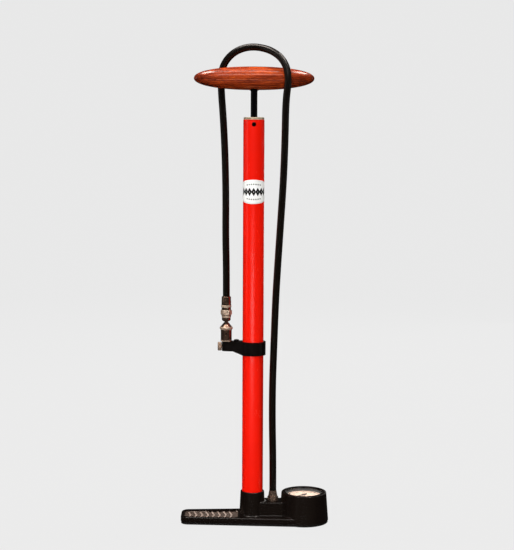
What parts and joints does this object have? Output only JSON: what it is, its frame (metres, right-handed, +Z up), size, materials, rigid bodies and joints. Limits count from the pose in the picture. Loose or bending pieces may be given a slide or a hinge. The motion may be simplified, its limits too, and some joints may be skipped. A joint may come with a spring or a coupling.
{
  "type": "floor bike pump",
  "caption": "Track pump with a red tube barrel, turned wooden handle, cast foot with a dial gauge, and a draped rubber hose with a metal chuck.",
  "frame": {"origin": "on the floor, under the barrel's axis", "axes": "+Z up along the barrel; -X along the foot; +X towards the gauge; -Y the side that faces the viewer"},
  "size_m": [0.2124, 0.0708, 0.6834],
  "materials": {
    "base_enamel": "gloss black enamel",
    "sole_rubber": "matte moulded rubber",
    "barrel_enamel": "gloss red enamel",
    "seal_rubber": "satin rubber",
    "cap_brass": "satin bronzed brass",
    "bush_plastic": "matte",
    "wiper_felt": "felt",
    "screw_black": "blackened steel",
    "clamp_black": "satin black powder coat",
    "chuck_nickel": "polished nickel over brass",
    "hose_rubber": "satin black rubber",
    "works_brass": "machined",
    "works_steel": "machined",
    "works_aluminium": "machined",
    "dial_cream": "matte printed cream",
    "needle_black": "matte black",
    "lens_glass": "clear",
    "rod_black": "gloss black",
    "cup_leather": "oiled leather",
    "handle_wood": "varnished red-brown hardwood"
  },
  "bodies": {
    "pump": {"base_casting": "base_enamel", "base_sole": "sole_rubber", "barrel_tube": "barrel_enamel", "barrel_gasket": "seal_rubber", "top_cap": "cap_brass", "rod_bush": "bush_plastic", "rod_wiper": "wiper_felt", "cap_set_screws": "screw_black", "barrel_clamp": "clamp_black", "clamp_screw": "screw_black", "dock_stud": "chuck_nickel", "dock_screw": "screw_black", "hose": "hose_rubber", "outlet_washer": "seal_rubber", "outlet_fitting": "chuck_nickel", "outlet_ferrule": "chuck_nickel", "valve_seat": "works_brass", "valve_spring": "works_steel", "gauge_plate": "works_brass", "tube_socket": "works_brass", "bourdon_tube": "works_brass", "train_plate_low": "works_brass", "train_plate_high": "works_brass", "train_spacers": "works_brass", "gauge_link": "works_steel", "gauge_dial": "dial_cream", "dial_screws": "screw_black", "lens_seal": "seal_rubber", "gauge_lens": "lens_glass", "gauge_bezel": "clamp_black"},
    "piston": {"piston_head": "works_aluminium", "piston_cup": "cup_leather"},
    "plunger": {"plunger_rod": "rod_black", "piston_nut": "works_steel", "piston_washer": "works_steel", "rod_bumper": "seal_rubber", "handle": "handle_wood", "handle_insert": "works_brass", "handle_collar": "rod_black"},
    "hose_end": {"hose_ferrule": "chuck_nickel", "hose_coupler": "chuck_nickel", "hose_barb": "works_brass", "swivel_nut": "chuck_nickel", "chuck_stem": "chuck_nickel"},
    "chuck": {"chuck_body": "chuck_nickel", "chuck_grommet": "seal_rubber", "chuck_cap": "chuck_nickel"},
    "thumb_screw": {"thumb_screw": "chuck_nickel"},
    "valve_ball": {"valve_ball": "works_steel"},
    "sector": {"sector_gear": "works_brass"},
    "needle": {"gauge_pinion": "works_steel", "gauge_needle": "needle_black"}
  },
  "joints": [
    {"name": "plunger_stroke", "type": "slide", "parent": "pump", "child": "piston", "axis": [0, 0, 1], "range_m": [0, 0.48], "deforming": ["hose"]},
    {"name": "handle_turn", "type": "hinge", "parent": "piston", "child": "plunger", "pos_m": [0, 0, 0.6342], "axis": [0, 0, 1], "continuous": true},
    {"name": "chuck_lift", "type": "slide", "parent": "pump", "child": "hose_end", "axis": [0, 0, 1], "range_m": [0, 0.025], "deforming": ["hose"]},
    {"name": "chuck_swivel", "type": "hinge", "parent": "hose_end", "child": "chuck", "pos_m": [-0.0382, 0, 0.27], "axis": [0, 0, 1], "continuous": true},
    {"name": "thumb_turn", "type": "hinge", "parent": "pump", "child": "thumb_screw", "pos_m": [-0.047, 0, 0.2548], "axis": [1, 0, 0], "continuous": true},
    {"name": "valve_lift", "type": "slide", "parent": "pump", "child": "valve_ball", "axis": [0, 0, -1], "range_m": [0, 0.0012], "stiffness_N_per_m": 60, "springref_m": -0.003, "deforming": ["valve_spring"]},
    {"name": "sector_turn", "type": "hinge", "parent": "pump", "child": "sector", "pos_m": [0.09192, 0, 0.03], "axis": [0, 0, 1], "range_deg": [0, 45]},
    {"name": "needle_turn", "type": "hinge", "parent": "pump", "child": "needle", "pos_m": [0.0743, 0, 0.037], "axis": [0, 0, 1], "range_deg": [-270, 0]}
  ],
  "couplings": [
    {"joint": "needle_turn", "follows": "sector_turn", "ratio": -6}
  ]
}
